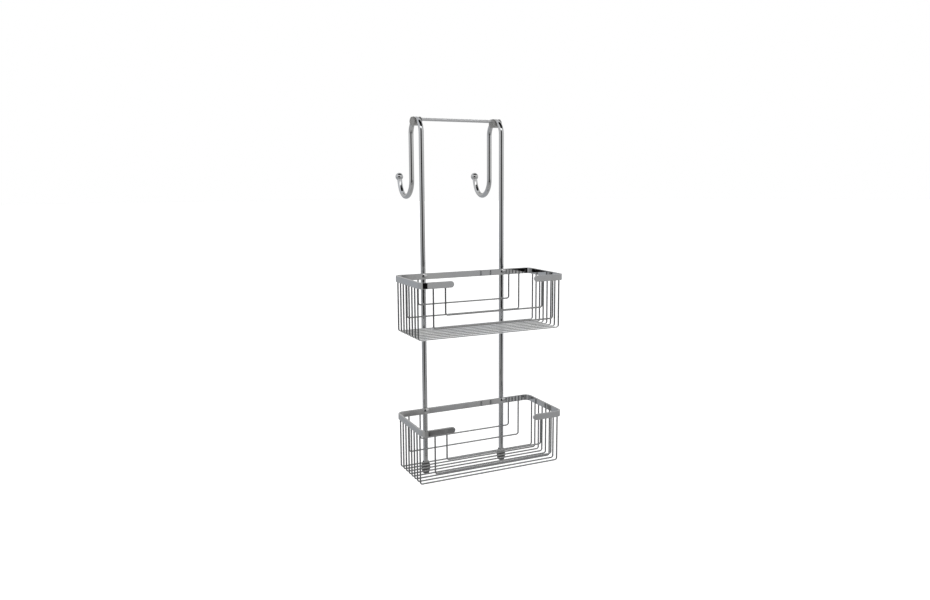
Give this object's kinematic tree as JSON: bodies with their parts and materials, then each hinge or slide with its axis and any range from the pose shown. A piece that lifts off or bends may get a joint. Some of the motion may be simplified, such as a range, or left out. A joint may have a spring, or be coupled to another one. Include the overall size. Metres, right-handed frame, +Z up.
{
  "type": "shower caddy",
  "caption": "Over-glass shower caddy: tiered wire baskets with flat-bar rims on bent rod posts that end in towel hooks.",
  "frame": {"origin": "on the top edge of the glass, under the saddles: midway between the two hooks and in the middle of the glass slot", "axes": "+Z up, +X along the baskets to the right, +Y from the baskets through the glass towards the towel hooks"},
  "size_m": [0.303, 0.2762, 0.719],
  "materials": {
    "post_chrome": "polished chrome plate on round rod",
    "bar_satin": "satin chrome plate on round bar",
    "rim_chrome": "polished chrome plate on flat bar, with eased edges",
    "wire_chrome": "chrome plate on drawn wire",
    "screw_chrome": "chrome-plated screw with a low smooth dome",
    "saddle_grey": "satin grey moulded plastic",
    "bumper_rubber": "dark matt rubber"
  },
  "bodies": {
    "root": {"left_post": "post_chrome", "left_hook_ball": "post_chrome", "left_glass_saddle": "saddle_grey", "left_glass_bumper": "bumper_rubber", "right_post": "post_chrome", "right_hook_ball": "post_chrome", "right_glass_saddle": "saddle_grey", "right_glass_bumper": "bumper_rubber", "crossbar": "bar_satin", "upper_rim": "rim_chrome", "upper_rim_screws": "screw_chrome", "upper_floor_wire_1": "wire_chrome", "upper_floor_wire_2": "wire_chrome", "upper_floor_wire_3": "wire_chrome", "upper_floor_wire_4": "wire_chrome", "upper_floor_wire_5": "wire_chrome", "upper_floor_wire_6": "wire_chrome", "upper_floor_wire_7": "wire_chrome", "upper_floor_wire_8": "wire_chrome", "upper_back_wire_deep": "wire_chrome", "upper_back_wire_shallow": "wire_chrome", "upper_front_wire_deep": "wire_chrome", "upper_front_wire_shallow": "wire_chrome", "lower_rim": "rim_chrome", "lower_rim_screws": "screw_chrome", "lower_floor_wire_1": "wire_chrome", "lower_floor_wire_2": "wire_chrome", "lower_floor_wire_3": "wire_chrome", "lower_floor_wire_4": "wire_chrome", "lower_floor_wire_5": "wire_chrome", "lower_floor_wire_6": "wire_chrome", "lower_floor_wire_7": "wire_chrome", "lower_floor_wire_8": "wire_chrome", "lower_back_wire_deep": "wire_chrome", "lower_back_wire_shallow": "wire_chrome", "lower_front_wire_deep": "wire_chrome", "lower_front_wire_shallow": "wire_chrome"}
  },
  "joints": []
}
